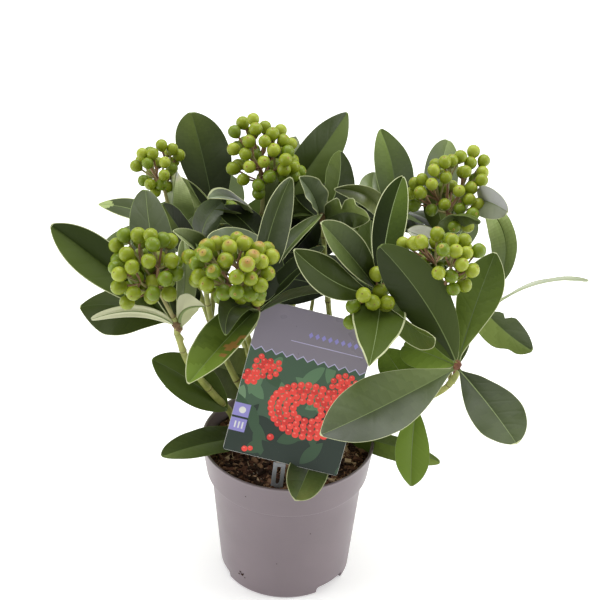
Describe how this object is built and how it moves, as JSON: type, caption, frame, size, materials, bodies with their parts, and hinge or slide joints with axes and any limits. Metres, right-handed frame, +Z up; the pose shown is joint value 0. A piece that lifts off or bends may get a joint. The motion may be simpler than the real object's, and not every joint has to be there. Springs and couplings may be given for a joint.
{
  "type": "potted skimmia shrub",
  "caption": "Compact evergreen skimmia in a round nursery pot, with green berry clusters above whorls of glossy oval leaves and a plant card on a stake.",
  "frame": {"origin": "middle of the flat underside of the pot", "axes": "+Z up; -Y towards the side the plant card faces, +X to that viewer's right"},
  "size_m": [0.3395, 0.3049, 0.3146],
  "materials": {
    "pot_plastic": "satin moulded taupe-grey plastic",
    "growing_medium": "dark moist bark and peat mix with pale fibres",
    "card_print": "thin printed plastic card, green with red berry shapes under a grey header",
    "clear_stake": "translucent clear grey plastic",
    "green_bark": "smooth green to brown young bark with leaf scars",
    "foliage": "glossy dark green leaves with a pale margin and lime green berries"
  },
  "bodies": {
    "root": {"bough_back_left": "green_bark", "bough_back_right": "green_bark", "bough_front_centre": "green_bark", "bough_front_right": "green_bark", "bough_rear_left": "green_bark", "bough_rear_middle": "green_bark", "bough_rear_right": "green_bark", "bough_right_centre": "green_bark", "card_stake": "clear_stake", "foliage_back_centre": "foliage", "foliage_back_left": "foliage", "foliage_back_right": "foliage", "foliage_front_centre": "foliage", "foliage_front_left": "foliage", "foliage_front_right": "foliage", "foliage_inner_right": "foliage", "foliage_low_front": "foliage", "foliage_low_front_left": "foliage", "foliage_low_left": "foliage", "foliage_low_rear": "foliage", "foliage_low_right": "foliage", "foliage_rear_left": "foliage", "foliage_rear_middle": "foliage", "foliage_rear_right": "foliage", "foliage_right_centre": "foliage", "foliage_under_right": "foliage", "plant_card": "card_print", "pot": "pot_plastic", "root_ball": "growing_medium", "stem_left": "green_bark", "stem_middle": "green_bark", "stem_right": "green_bark"}
  },
  "joints": []
}
